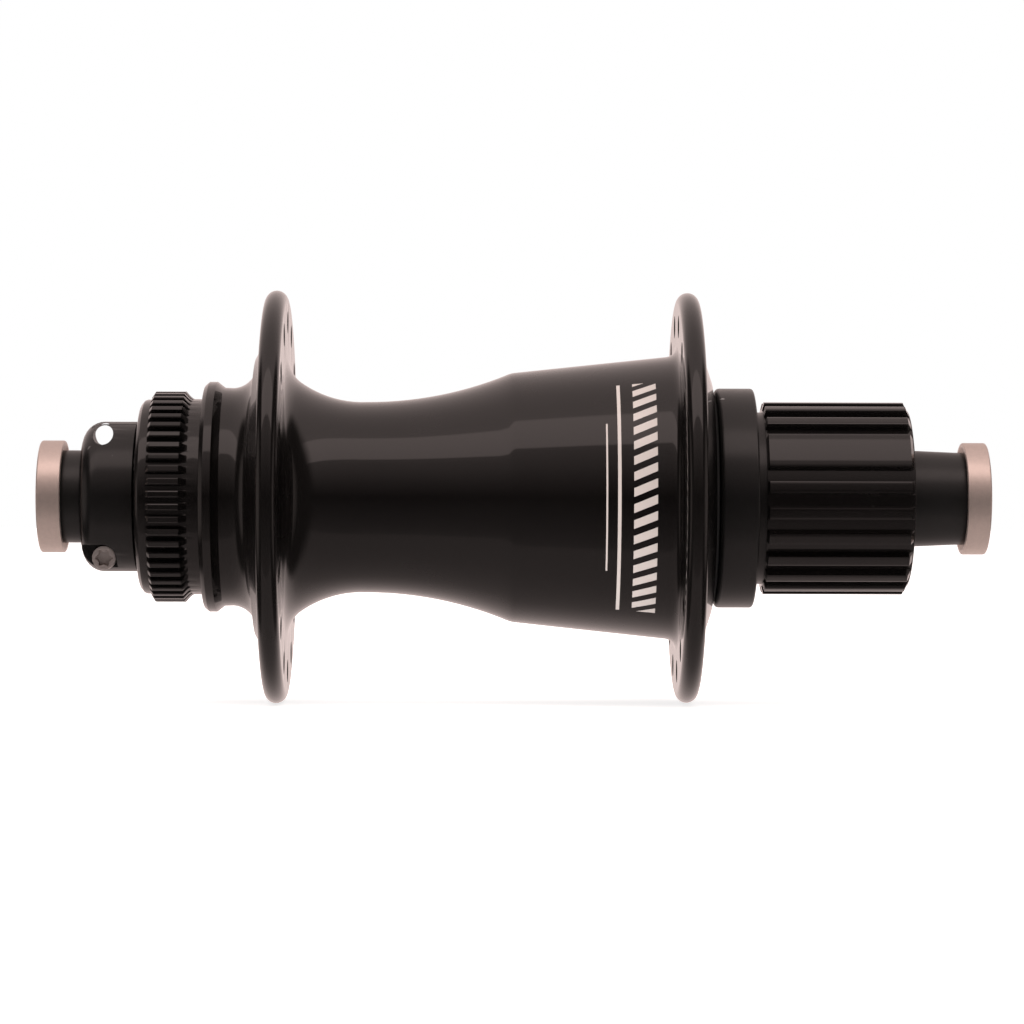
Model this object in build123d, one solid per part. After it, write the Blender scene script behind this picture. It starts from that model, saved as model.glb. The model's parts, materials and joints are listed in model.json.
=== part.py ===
from build123d import *
import os
from math import cos, pi, radians, sin, sqrt

os.makedirs("parts", exist_ok=True)

# Rear disc-brake bicycle hub with a face-ratchet freewheel, for a 12 mm thru axle. Millimetres.
# The axle lies along Y: +Y is the disc side, -Y the cassette side, +Z is up.
# The origin is on the axle line, midway between the two end caps.

# Driving sizes: overall
over_caps = 157.0  # outer face to outer face of the end caps
thru_axle_r = 6.05  # bore for the frame's 12 mm thru axle

# Driving sizes: end caps and axle
cap_r = 9.3
cap_length = 3.95
cap_lip = 1.0  # wall left outside the axle's end
cap_edge = 0.35
cap_recess_r = 8.6
cap_recess_depth = 0.9
stub_r = 7.68
stub_taper = 1.1  # plain axle end beyond the cap
spacer_wall = 0.27  # step from the axle's end up to the sleeve beside the driver
spacer_inset = 2.0  # where that sleeve reaches full size, outside the driver's end
driver_land_length = 0.9  # bearing land beyond the axle's snap ring
axle_snap_depth = 0.5
axle_snap_rim = 0.2  # the snap ring stands this much above the axle's shoulders
axle_snap_opening = 3.0
thread_runout = 0.9
thread_chamfer_left = 0.2
bearing_land_r = 8.5
shoulder_r = 9.4
shoulder_length = 1.6
thread_land_r = 8.4
o_ring_r = 0.49
o_ring_groove = 1.4
o_ring_depth = 0.95
running = 0.03  # radial running clearance
slip = 0.05  # radial clearance of pieces that slide together
face_gap = 0.1  # axial clearance between pieces that turn against each other
part_gap = 0.3  # clearance between bodies that never touch

# Driving sizes: adjusting collar
collar_inset = 7.05  # end cap face to collar face
collar_width = 9.05
collar_r = 12.45
collar_round = 3.6
collar_nose_r = 10.6
collar_slot = 1.4
collar_bore_edge = 0.25
collar_back_edge = 0.2
nose_chamfer = 0.9  # across the nose's end
nose_chamfer_length = 1.1
screw_r = 1.5
screw_head_r = 1.95
screw_head_height = 2.0
screw_socket_r = 1.25
screw_socket_depth = 1.2
screw_head_edge = 0.35
screw_offset = 10.1  # screw line to axle line
screw_inset = 3.9  # screw line to the collar's outer face
screw_seat = 4.3  # head seat to the slot plane
screw_length = 11.0
screw_pocket_gap = 0.2
spanner_hole_r = 1.72
spanner_hole_shift = 0.2  # nearer the outer face than the screw line

# Driving sizes: hub shell, disc side
shell_left_inset = 16.7  # end cap face to shell end
lip_r = 16.15
lip_length = 1.9
disc_spline_r = 17.5
disc_spline_root_r = 16.25
disc_spline_length = 6.8
disc_spline_teeth = 52
disc_tooth_tip = 0.38  # share of the pitch at a tooth's tip
disc_tooth_foot = 0.54
disc_tooth_edge = 0.15
disc_tooth_sink = 0.4  # how far a tooth runs below the root, to join it
disc_tooth_lead = 0.9  # slope at the outer end
disc_tooth_tail = 1.2
disc_root_length = 1.85
stop_ring_r = 19.13
stop_ring_length = 3.2
stop_ring_edge = 0.8
stop_ring_band = 1.2  # full-radius band of the stop ring
stop_relief = 0.2  # corner relief under the disc's splines
lip_edge = 0.4
lip_slope = 1.0
lip_face = 1.3
neck_r = 18.1
disc_thread_r = 14.2
thread_chamfer = 0.3
snap_lip = 0.35  # wall between a snap ring's groove and the open end

# Driving sizes: spoke flanges
flange_left_inset = 39.1  # end cap face to flange centre
flange_right_inset = 3.95  # shell's open end to flange centre
flange_left_r = 34.3
flange_right_r = 34.1
flange_thickness = 3.5
flange_foot_r = 19.5  # foot of the left flange, waist side
flange_foot_length = 1.65
flange_boss_height = 4.6  # outer side of the left flange above the neck
flange_boss_length = 4.2
flange_face_left = 3.6  # flat face inside the spoke circle
flange_face_right = 3.2
spoke_circle_r = 29.0
spoke_count = 16
spoke_hole_r = 1.25
spoke_mouth_r = 1.85
spoke_left_angle = -2.0  # first hole from the vertical, toward the back of the bicycle
spoke_right_angle = -14.0

# Driving sizes: waist and barrel
waist_r = 15.85
waist_inset = 14.9  # flange centre to the waist
barrel_edge_inset = 38.9  # flange centre to the edge where the barrel starts
barrel_start_r = 20.7
barrel_end_r = 23.5
shell_bore_r = 12.5
shell_right_inset = 0.7  # driver's shoulder to the shell's open end on the cassette side
barrel_foot_length = 1.6
barrel_foot_round = 1.7
mouth_wall = 0.9  # shell wall round the large bearing at the open end
bore_step = 2.0  # slope from the ratchet bore down to the shell bore

# Driving sizes: bearings (bore radius, outer radius, width, balls, ball radius)
small_bearing_r = 13.0
small_bearing_width = 5.0
small_balls = 17
small_ball_r = 1.25
large_bearing_bore_r = 12.5
large_bearing_r = 18.5
large_bearing_width = 7.0
large_balls = 19
large_ball_r = 1.75
seal_thickness = 0.45
seal_lip_gap = 0.15
seal_slope = 1.1
snap_ring_width = 1.0
snap_ring_bite = 0.55
snap_ring_depth = 1.1  # ring width inside the bore
race_step = 0.35  # seat for the seals in the outer race
cage_share = 0.42  # cage wall to ball radius
window_share = 0.8  # race walls to ball radius
cage_back = 0.4
left_bearing_depth = 6.8  # shell end to the bearing's outboard face

# Driving sizes: needle bearing
needle_r = 0.75
needle_length = 8.0
needle_count = 24
needle_wall = 0.7

# Driving sizes: driver
driver_end_inset = 13.2  # end cap face to the driver's open end
spline_length = 24.2
spline_r = 16.0
spline_root_r = 14.75
spline_positions = 23
spline_wide_angle = 30.2  # centre of the wide spline above the horizontal
spline_tooth_share = 0.505
driver_neck_length = 1.45
driver_neck_r = 14.3
driver_collar_r = 18.25
driver_collar_length = 6.3
driver_boss_r = 13.6
driver_tube_r = 11.6
driver_bore_r = 10.2
driver_mouth_r = 13.6
driver_mouth_depth = 6.3
driver_tail_length = 16.2  # tube beyond the large bearing
driver_edge = 0.3
driver_collar_edge = 0.4
driver_collar_slope = 0.7
driver_snap_bite = 0.4
key_chamfer = 0.9
tail_wall_end = 1.0  # needle cup to the driver's inner end

# Driving sizes: ratchet
ratchet_teeth = 72
tooth_height = 0.6
tooth_tip_gap = 0.15  # ratchet held open while coasting
ring_body = 3.6
land_share = 0.5  # bore lands to their pitch
land_sink = 0.3  # how far a land runs into the wall, to join it
land_runout = 2.0
key_share = 0.94  # drive key to its slot
drive_ring_r = 16.65
drive_key_height = 0.7
drive_keys = 24
helix_keys = 12
helix_key_width = 1.6
helix_angle = 22.0
spring_wire_r = 0.65
spring_turns = 3
spring_length = 6.4
spring_r = 14.4
retainer_width = 1.0
retainer_depth = 1.2  # retainer ring inside the spring's line
needle_web = 0.35  # half the needle cage's wall
cage_end_gap = 0.15

# Places along the axle worked out from the driving sizes
left = over_caps / 2
right = -over_caps / 2
shell_left = left - shell_left_inset
left_bearing_out = shell_left - left_bearing_depth
left_bearing_in = left_bearing_out - small_bearing_width
flange_left = left - flange_left_inset
driver_end = right + driver_end_inset
driver_bearing_out = driver_end + driver_mouth_depth
driver_bearing_in = driver_bearing_out + small_bearing_width
spline_in = driver_end + spline_length
collar_in = spline_in + driver_neck_length
driver_shoulder = collar_in + driver_collar_length
shell_right = driver_shoulder + shell_right_inset
flange_right = shell_right + flange_right_inset
seal_space = 2.3  # driver shoulder to the large bearing
large_bearing_out = driver_shoulder + seal_space
large_bearing_in = large_bearing_out + large_bearing_width
driver_tail = large_bearing_in + driver_tail_length
driven_start = large_bearing_in + part_gap
driven_face = driven_start + ring_body
drive_face = driven_face + 2 * tooth_height + tooth_tip_gap
drive_back = drive_face + ring_body
spring_start = drive_back
spring_end = spring_start + spring_length
retainer_end = spring_end + retainer_width
collar_out = left - collar_inset
collar_inner = collar_out - collar_width


def turned(*outline):
    """Round piece about the axle from its (radius, along) corners."""
    return revolve(make_face(Polyline(*outline, close=True)), Axis.Y)


def ring(inner, outer, start, end):
    """Plain round ring about the axle."""
    return turned((inner, start), (outer, start), (outer, end), (inner, end))


def around(shape, count, start=0.0):
    """Copies of a shape spread evenly round the axle."""
    return [shape.rotate(Axis.Y, start + i * 360 / count) for i in range(count)]


def save(name, shape):
    """One closed piece, or a group of like pieces, as its own STEP file."""
    export_step(shape, f"parts/{name}.step")


def groove_ring(pitch_r, groove_r, centre):
    """Round track that a bearing's balls run in."""
    return Solid.make_torus(pitch_r, groove_r, Plane(origin=(0, centre, 0), z_dir=(0, 1, 0)))


def ball_bearing(name, bore, outer, start, width, count, ball_r):
    """Cartridge bearing: two races, balls, cage and a seal on each side."""
    centre = start + width / 2
    pitch = (bore + outer) / 2
    track = groove_ring(pitch, ball_r + running, centre)
    half_window = ball_r * window_share
    inner_wall = pitch - half_window
    outer_wall = pitch + half_window
    seal_step = seal_thickness + slip
    inner = ring(bore, inner_wall, start, start + width) - track
    outer_race = turned(
        (outer_wall, start + seal_step), (outer_wall + race_step, start + seal_step),
        (outer_wall + race_step, start), (outer, start), (outer, start + width),
        (outer_wall + race_step, start + width), (outer_wall + race_step, start + width - seal_step),
        (outer_wall, start + width - seal_step)
    ) - track
    ball = Pos(pitch, centre, 0) * Sphere(ball_r)
    pocket = Pos(pitch, centre, 0) * Cylinder(ball_r + 2 * running, 3 * ball_r, rotation=(0, 90, 0))
    web = ball_r * cage_share
    cage = ring(pitch - web, pitch + web, centre - ball_r - cage_back, centre + ball_r / 2)
    cage = cage - around(pocket, count)
    seal_in = inner_wall + running
    seal_out = outer_wall + race_step - running
    save(f"{name}_inner_race", inner)
    save(f"{name}_outer_race", outer_race)
    save(f"{name}_balls", Compound(children=around(ball, count)))
    save(f"{name}_cage", cage)
    save(f"{name}_seal_low", ring(seal_in, seal_out, start, start + seal_thickness))
    save(f"{name}_seal_high", ring(seal_in, seal_out, start + width - seal_thickness, start + width))


def snap_ring(bore, bite, start, opening):
    """Split retaining ring that springs into a groove of the given bore."""
    body = ring(bore - snap_ring_depth, bore + bite - running, start, start + snap_ring_width)
    gap = Pos(0, start + snap_ring_width / 2, bore) * Box(opening, 3 * snap_ring_width, 8)
    return body - gap


# Axle: hollow, with a shoulder against each bearing and a plain end for each cap
spacer_r = stub_r + spacer_wall
driver_land_start = driver_bearing_out - snap_ring_width - driver_land_length
axle = turned(
    (thru_axle_r, right + cap_lip), (stub_r, right + cap_lip),
    (stub_r, right + cap_length + stub_taper), (spacer_r, driver_end - spacer_inset),
    (spacer_r, driver_land_start), (bearing_land_r, driver_land_start),
    (bearing_land_r, driver_bearing_in), (shoulder_r, driver_bearing_in),
    (shoulder_r, driver_bearing_in + shoulder_length), (bearing_land_r, driver_bearing_in + shoulder_length),
    (bearing_land_r, left_bearing_in - shoulder_length), (shoulder_r, left_bearing_in - shoulder_length),
    (shoulder_r, left_bearing_in), (bearing_land_r, left_bearing_in), (bearing_land_r, left_bearing_out),
    (thread_land_r, left_bearing_out), (thread_land_r, collar_out - thread_runout),
    (stub_r, collar_out - thread_chamfer_left), (stub_r, left - cap_lip), (thru_axle_r, left - cap_lip)
)
groove_centre = cap_lip + 0.3 + o_ring_groove / 2
for place, inward in ((left, -1), (right, 1)):
    middle = place + inward * groove_centre
    groove = ring(stub_r - o_ring_depth, stub_r + 1, middle - o_ring_groove / 2, middle + o_ring_groove / 2)
    axle = axle - groove
axle_snap_start = driver_bearing_out - snap_ring_width - slip
axle = axle - ring(
    bearing_land_r - axle_snap_depth, bearing_land_r + 1, axle_snap_start - slip, driver_bearing_out
)
save("axle", axle)
axle_snap = ring(
    bearing_land_r - axle_snap_depth + running, shoulder_r + axle_snap_rim,
    axle_snap_start, driver_bearing_out - slip
)
axle_snap = axle_snap - Pos(0, axle_snap_start, bearing_land_r) * Box(
    axle_snap_opening, 4 * snap_ring_width, 2 * axle_snap_opening
)
save("axle_snap_ring", axle_snap)

# End caps: they push over the axle's ends and are held by an O-ring
cap_bore = stub_r + slip
recess_floor = cap_length - cap_recess_depth
cap_corners = (
    (thru_axle_r, 0), (cap_r - cap_edge, 0), (cap_r, cap_edge), (cap_r, cap_length - cap_edge),
    (cap_r - cap_edge, cap_length), (cap_recess_r, cap_length), (cap_bore, recess_floor),
    (cap_bore, cap_lip), (thru_axle_r, cap_lip)
)
for side, face, inward in (("left", left, -1), ("right", right, 1)):
    save(f"end_cap_{side}", turned(*[(r, face + inward * y) for r, y in cap_corners]))
    o_ring = groove_ring(cap_bore - 0.01 - o_ring_r, o_ring_r, face + inward * groove_centre)
    save(f"cap_o_ring_{side}", o_ring)

# Adjusting collar: a split ring on the axle thread, with a nose that loads the disc side bearing
shoulder_start = collar_out - collar_round
arc_mid = (collar_r - collar_round * (1 - sin(radians(45))), shoulder_start + collar_round * cos(radians(45)))
collar_top_r = collar_r - collar_round
collar_bore = thread_land_r + slip
outline = Polyline(
    (collar_bore, collar_out - collar_bore_edge), (collar_bore + collar_bore_edge, collar_out),
    (collar_top_r, collar_out)
)
outline += ThreePointArc((collar_top_r, collar_out), arc_mid, (collar_r, shoulder_start))
outline += Polyline(
    (collar_r, shoulder_start), (collar_r, collar_inner + collar_back_edge),
    (collar_r - collar_back_edge, collar_inner),
    (collar_nose_r, collar_inner),
    (collar_nose_r, left_bearing_out + face_gap + nose_chamfer_length),
    (collar_nose_r - nose_chamfer, left_bearing_out + face_gap),
    (collar_bore, left_bearing_out + face_gap),
    (collar_bore, collar_out - collar_bore_edge)
)
collar = revolve(make_face(outline), Axis.Y)
screw_y = collar_out - screw_inset
pocket_r = screw_head_r + screw_pocket_gap
pocket_depth = 2 * collar_r
pocket_x = -screw_seat - pocket_depth / 2
slot_cut = Pos(0, collar_out - collar_width / 2, -collar_r) * Box(
    collar_slot, 2 * collar_width, 2 * (collar_r - thread_land_r) + 2
)
head_pocket = Pos(pocket_x, screw_y, -screw_offset) * Cylinder(pocket_r, pocket_depth, rotation=(0, 90, 0))
outboard_pocket = Pos(pocket_x, screw_y + collar_round, -screw_offset + pocket_r - collar_round) * Box(
    pocket_depth, 2 * collar_round, 2 * collar_round
)
lower_pocket = Pos(pocket_x, screw_y, -screw_offset - collar_round) * Box(
    pocket_depth, 2 * pocket_r, 2 * collar_round
)
screw_hole = Pos(0, screw_y, -screw_offset) * Cylinder(screw_r + slip, 4 * screw_length, rotation=(0, 90, 0))
spanner_hole = Pos(0, screw_y + spanner_hole_shift, screw_offset) * Cylinder(
    spanner_hole_r, 4 * collar_r, rotation=(0, 90, 0)
)
collar = collar - slot_cut - head_pocket - outboard_pocket - lower_pocket - screw_hole - spanner_hole
save("adjusting_collar", collar)

# Pinch screw: domed head with a six-lobed socket
head_out = -screw_seat - screw_head_height
lobe_r = screw_socket_r * 0.26
lobes = Circle(screw_socket_r * 0.76)
for i in range(6):
    lobes += Rot(0, 0, i * 60) * Pos(screw_socket_r - lobe_r, 0) * Circle(lobe_r)
socket_plane = Plane(origin=(head_out, screw_y, -screw_offset), z_dir=(1, 0, 0))
socket = socket_plane * extrude(lobes, screw_socket_depth)
head = Pos(head_out + screw_head_height / 2, screw_y, -screw_offset) * Cylinder(
    screw_head_r, screw_head_height, rotation=(0, 90, 0)
)
head = fillet(head.edges().filter_by(GeomType.CIRCLE).sort_by(Axis.X)[0], screw_head_edge)
shank_middle = screw_length / 2 - screw_seat
shank = Pos(shank_middle, screw_y, -screw_offset) * Cylinder(screw_r, screw_length, rotation=(0, 90, 0))
save("pinch_screw", head + shank - socket)

# Hub shell outside: disc spline, stop ring, two flanges, waist and barrel
spline_start = shell_left - lip_length
spline_end = spline_start - disc_spline_length
stop_out = spline_end - disc_root_length
stop_in = stop_out - stop_ring_length
half = flange_thickness / 2
waist_y = flange_left - waist_inset
barrel_y = flange_left - barrel_edge_inset
left_foot_y = flange_left - half - flange_foot_length


def arc_radius(rise, along):
    """Radius of an arc that is level at one end and climbs by rise over a length."""
    return (along ** 2 + rise ** 2) / (2 * rise)


left_arc_r = arc_radius(flange_foot_r - waist_r, left_foot_y - waist_y)
right_arc_r = arc_radius(barrel_start_r - waist_r, waist_y - barrel_y)


def arc_point(radius, toward, along):
    """Point on a waist arc that is level at the waist."""
    return (waist_r + radius - sqrt(radius ** 2 - along ** 2), waist_y + toward * along)


left_mid = arc_point(left_arc_r, 1, (left_foot_y - waist_y) / 2)
right_mid = arc_point(right_arc_r, -1, (waist_y - barrel_y) / 2)
left_rim = flange_left_r - half
right_rim = flange_right_r - half
barrel_foot_y = flange_right + half + barrel_foot_length
boss_start = flange_left + half + flange_boss_length
relief_r = disc_spline_r + stop_relief
outline = Polyline(
    (disc_thread_r + thread_chamfer, shell_left), (lip_r - lip_face, shell_left),
    (lip_r - lip_edge, shell_left - lip_edge), (lip_r, shell_left - lip_slope), (lip_r, spline_start),
    (disc_spline_root_r, spline_start), (disc_spline_root_r, stop_out - stop_relief),
    (relief_r, stop_out - stop_relief), (relief_r, stop_out), (stop_ring_r - stop_ring_edge, stop_out),
    (stop_ring_r, stop_out - stop_ring_edge), (stop_ring_r, stop_out - stop_ring_edge - stop_ring_band),
    (neck_r, stop_in), (neck_r, boss_start)
)
outline += ThreePointArc(
    (neck_r, boss_start), (neck_r + flange_boss_height / 4, flange_left + half + flange_boss_length * 0.68),
    (neck_r + flange_boss_height, flange_left + half + flange_boss_length * 0.42)
)
outline += Polyline(
    (neck_r + flange_boss_height, flange_left + half + flange_boss_length * 0.42),
    (spoke_circle_r - flange_face_left, flange_left + half),
    (left_rim, flange_left + half)
)
outline += ThreePointArc(
    (left_rim, flange_left + half), (flange_left_r, flange_left), (left_rim, flange_left - half)
)
foot_round = 2 * flange_foot_length
outline += Polyline((left_rim, flange_left - half), (flange_foot_r + foot_round, flange_left - half))
outline += ThreePointArc(
    (flange_foot_r + foot_round, flange_left - half),
    (flange_foot_r + foot_round * 0.32, flange_left - half - flange_foot_length * 0.27),
    (flange_foot_r, left_foot_y)
)
outline += ThreePointArc((flange_foot_r, left_foot_y), left_mid, (waist_r, waist_y))
outline += ThreePointArc((waist_r, waist_y), right_mid, (barrel_start_r, barrel_y))
outline += Polyline((barrel_start_r, barrel_y), (barrel_end_r, barrel_foot_y))
outline += ThreePointArc(
    (barrel_end_r, barrel_foot_y),
    (barrel_end_r + barrel_foot_round * 0.3, flange_right + half + barrel_foot_length * 0.28),
    (barrel_end_r + barrel_foot_round, flange_right + half)
)
outline += Polyline((barrel_end_r + barrel_foot_round, flange_right + half), (right_rim, flange_right + half))
outline += ThreePointArc(
    (right_rim, flange_right + half), (flange_right_r, flange_right), (right_rim, flange_right - half)
)
drive_bore_r = drive_ring_r + slip
key_bore_r = drive_bore_r + drive_key_height
snap_start = large_bearing_out - snap_ring_width - slip
snap_bore = large_bearing_r + snap_ring_bite
left_snap = left_bearing_out + slip
left_snap_end = left_snap + snap_ring_width + slip
outline += Polyline(
    (right_rim, flange_right - half), (spoke_circle_r - flange_face_right, flange_right - half),
    (large_bearing_r + mouth_wall, shell_right), (large_bearing_r, shell_right),
    (large_bearing_r, large_bearing_in), (key_bore_r, large_bearing_in),
    (key_bore_r, retainer_end), (drive_bore_r - bore_step, retainer_end),
    (shell_bore_r, retainer_end + bore_step),
    (shell_bore_r, left_bearing_in), (small_bearing_r, left_bearing_in),
    (small_bearing_r, left_snap_end + snap_lip),
    (disc_thread_r, left_snap_end + snap_lip + disc_thread_r - small_bearing_r),
    (disc_thread_r, shell_left - thread_chamfer), (disc_thread_r + thread_chamfer, shell_left)
)
shell = revolve(make_face(outline), Axis.Y)
shell = shell - ring(large_bearing_r - 1, snap_bore, snap_start - slip, large_bearing_out)
shell = shell - ring(small_bearing_r - 1, small_bearing_r + snap_ring_bite, left_bearing_out, left_snap_end)

# Disc spline teeth: pointed at both ends so the brake disc slides on
tooth_pitch = 2 * pi * disc_spline_r / disc_spline_teeth
tip_half = tooth_pitch * disc_tooth_tip / 2
foot_half = tooth_pitch * disc_tooth_foot / 2
tooth_foot_r = disc_spline_root_r - disc_tooth_sink
edge_r = disc_spline_r - disc_tooth_edge
tooth_section = make_face(Polyline(
    (tooth_foot_r, -foot_half), (edge_r, -tip_half), (disc_spline_r, disc_tooth_edge - tip_half),
    (disc_spline_r, tip_half - disc_tooth_edge), (edge_r, tip_half), (tooth_foot_r, foot_half), close=True
))
spline_plane = Plane(origin=(0, spline_start, 0), x_dir=(1, 0, 0), z_dir=(0, -1, 0))
tooth = spline_plane * extrude(tooth_section, disc_spline_length)


def end_slope(end, outward, length):
    """Cutter that slopes a tooth's end down to the root."""
    beyond = end + outward
    return revolve(make_face(Polyline(
        (tooth_foot_r, beyond), (disc_spline_root_r, end), (disc_spline_r, end - outward * length),
        (disc_spline_r + 1, end - outward * length), (disc_spline_r + 1, beyond), close=True
    )), Axis.Y)


point_cut = end_slope(spline_start, 1, disc_tooth_lead)
tail_cut = end_slope(spline_end, -1, disc_tooth_tail)
tooth = tooth - point_cut - tail_cut
shell = shell + around(tooth, disc_spline_teeth)

# Straight lands in the shell's bore: the drive ring's keys slide between them
slot_width = 2 * pi * drive_bore_r / drive_keys * land_share
land_end = drive_back + land_runout
land_top = key_bore_r + land_sink
land = Pos((land_top + drive_bore_r) / 2, (large_bearing_in + land_end) / 2, 0) * Box(
    land_top - drive_bore_r, land_end - large_bearing_in, slot_width
)
land_trim = ring(drive_bore_r, land_top + land_sink, large_bearing_in, land_end)
land = land & land_trim
shell = shell + around(land, drive_keys)

# Spoke holes: round, opened out at both faces
hole = Pos(spoke_circle_r, 0, 0) * Cylinder(spoke_hole_r, 3 * flange_thickness, rotation=(90, 0, 0))
mouth_depth = spoke_mouth_r - spoke_hole_r
for centre, first in ((flange_left, spoke_left_angle), (flange_right, spoke_right_angle)):
    drill = Pos(0, centre, 0) * hole
    for side in (1, -1):
        face = centre + side * half
        cone = Plane(origin=(spoke_circle_r, face - side * mouth_depth, 0), z_dir=(0, side, 0)) * Cone(
            spoke_hole_r, spoke_mouth_r + mouth_depth, 2 * mouth_depth,
            align=(Align.CENTER, Align.CENTER, Align.MIN)
        )
        drill = drill + cone
    # a turn of -90 puts the first hole at the top: a positive turn about Y carries +X toward -Z
    shell = shell - around(drill, spoke_count, -90 + first)
save("hub_shell", shell)

# Bearings
ball_bearing("left_bearing", bearing_land_r, small_bearing_r, left_bearing_in, small_bearing_width,
             small_balls, small_ball_r)
ball_bearing("shell_bearing", large_bearing_bore_r, large_bearing_r, large_bearing_out, large_bearing_width,
             large_balls, large_ball_r)
ball_bearing("driver_bearing", bearing_land_r, small_bearing_r, driver_bearing_out, small_bearing_width,
             small_balls, small_ball_r)
save("left_bearing_snap_ring", snap_ring(small_bearing_r, snap_ring_bite, left_snap, 4))
save("shell_bearing_snap_ring", snap_ring(large_bearing_r, snap_ring_bite, snap_start, 5))
driver_snap = driver_bearing_out - snap_ring_width - slip
save("driver_bearing_snap_ring", snap_ring(driver_mouth_r, driver_snap_bite, driver_snap, 4))

# Driver seal: a lipped rubber ring pressed in the shell's open end
seal_back = snap_start - 2 * slip
seal_lip_r = driver_boss_r + seal_lip_gap
seal_front = driver_shoulder + 2 * face_gap
save("driver_seal", turned(
    (seal_lip_r, seal_back), (large_bearing_r, seal_back), (large_bearing_r, shell_right),
    (large_bearing_r - seal_slope, seal_front), (seal_lip_r, seal_front)
))

# Driver: cassette splines, shoulder collar, bearing seat and tail that carries the driven ring
tail_bore_r = bearing_land_r + running + 2 * needle_r + running + needle_wall
needle_start = driver_tail - needle_length - 2 * tail_wall_end
needle_end = driver_tail - tail_wall_end
driver = turned(
    (driver_mouth_r, driver_end), (spline_root_r - driver_edge, driver_end),
    (spline_root_r, driver_end + driver_edge),
    (spline_root_r, spline_in), (driver_neck_r, spline_in), (driver_neck_r, collar_in),
    (driver_collar_r - driver_collar_edge, collar_in), (driver_collar_r, collar_in + driver_collar_edge),
    (driver_collar_r, driver_shoulder - driver_collar_slope),
    (driver_collar_r - driver_collar_slope, driver_shoulder),
    (driver_boss_r, driver_shoulder), (driver_boss_r, large_bearing_out),
    (large_bearing_bore_r, large_bearing_out), (large_bearing_bore_r, large_bearing_in),
    (driver_tube_r, large_bearing_in), (driver_tube_r, driver_tail), (tail_bore_r, driver_tail),
    (tail_bore_r, needle_start), (driver_bore_r, needle_start), (driver_bore_r, driver_bearing_in),
    (small_bearing_r, driver_bearing_in), (small_bearing_r, driver_bearing_out),
    (driver_mouth_r, driver_bearing_out)
)
driver = driver - ring(
    driver_mouth_r - 1, driver_mouth_r + driver_snap_bite, driver_snap - slip, driver_bearing_out
)
pitch_angle = 360 / spline_positions


def spline_key(centre_angle, width_angle):
    """One cassette spline: an arc-topped key on the driver's barrel."""
    sector_half = width_angle / 2
    corners = [(0, 0)]
    for turn in (-sector_half, sector_half):
        corners.append((2 * spline_r * cos(radians(turn)), 2 * spline_r * sin(radians(turn))))
    wedge = make_face(Polyline(*corners, close=True))
    section = (Circle(spline_r) - Circle(spline_root_r - 0.2)) & wedge
    key_plane = Plane(origin=(0, driver_end, 0), x_dir=(-1, 0, 0), z_dir=(0, 1, 0))
    key = key_plane * extrude(section, spline_length)
    return key.rotate(Axis.Y, centre_angle)


tooth_angle = pitch_angle * spline_tooth_share
keys = [spline_key(spline_wide_angle, pitch_angle + tooth_angle)]
for i in range(1, spline_positions - 1):
    keys.append(spline_key(spline_wide_angle + (i + 0.5) * pitch_angle, tooth_angle))
trim_r = spline_r - key_chamfer
end_trim = turned(
    (trim_r, driver_end - 1), (trim_r, driver_end), (spline_r, driver_end + key_chamfer),
    (spline_r + 1, driver_end + key_chamfer), (spline_r + 1, driver_end - 1)
)
keys = [key - end_trim for key in keys]
driver = driver + keys

# Helical keys on the driver's tail drive the driven ring
key_r = large_bearing_bore_r - 0.2
driven_middle = (driven_start + driven_face) / 2
helix_bar = Pos((driver_tube_r + key_r) / 2, driven_middle, 0) * Rot(helix_angle, 0, 0) * Box(
    key_r - driver_tube_r + 1, ring_body * 2, helix_key_width
)
helix_bar = helix_bar & ring(driver_tube_r - 0.3, key_r, large_bearing_in, driven_face)
driver = driver + around(helix_bar, helix_keys)
save("driver", driver)


def ratchet_ring(inner, outer, back, face, toward):
    """Ring with saw teeth on one face, which points toward +Y (1) or -Y (-1)."""
    body = ring(inner, outer, min(back, face), max(back, face))
    sections = []
    for radius in (inner, outer):
        steep = -toward * radius * pi / ratchet_teeth * 0.98
        sections.append(make_face(Polyline(
            (radius, face - 0.1 * toward, -steep), (radius, face - 0.1 * toward, steep),
            (radius, face + tooth_height * toward, steep), (radius, face, -steep), close=True
        )))
    return body + around(loft(sections, ruled=True), ratchet_teeth)


tooth_inner_r = key_r + 0.6
driven = ratchet_ring(tooth_inner_r, drive_ring_r - part_gap, driven_start, driven_face, 1)
driven = driven + ring(driver_tube_r + slip, tooth_inner_r, driven_start, driven_face)
helix_slot = Pos((driver_tube_r + key_r) / 2, driven_middle, 0) * Rot(helix_angle, 0, 0) * Box(
    key_r - driver_tube_r + 1, ring_body * 3, helix_key_width + 2 * slip
)
helix_slot = helix_slot & ring(driver_tube_r - 1, key_r + slip, driven_start - 1, driven_face + 1)
save("driven_ring", driven - around(helix_slot, helix_keys))
drive = ratchet_ring(tooth_inner_r, drive_ring_r, drive_back, drive_face, -1)
key_foot = drive_ring_r - 0.6
key_top = key_bore_r - slip
drive_key = Pos((key_foot + key_top) / 2, (drive_face + drive_back) / 2, 0) * Box(
    key_top - key_foot, ring_body, slot_width * key_share
)
save("drive_ring", drive + around(drive_key, drive_keys, 180 / drive_keys))

# Drive spring and the ring behind it
spring_path = Helix(
    (spring_length - 2 * spring_wire_r) / spring_turns, spring_length - 2 * spring_wire_r, spring_r,
    center=(0, spring_start + spring_wire_r, 0), direction=(0, 1, 0)
)
wire = Plane(origin=spring_path @ 0, z_dir=spring_path % 0) * Circle(spring_wire_r)
save("drive_spring", sweep(wire, spring_path))
save("spring_retainer", ring(spring_r - retainer_depth, key_bore_r - slip, spring_end, retainer_end))

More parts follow.
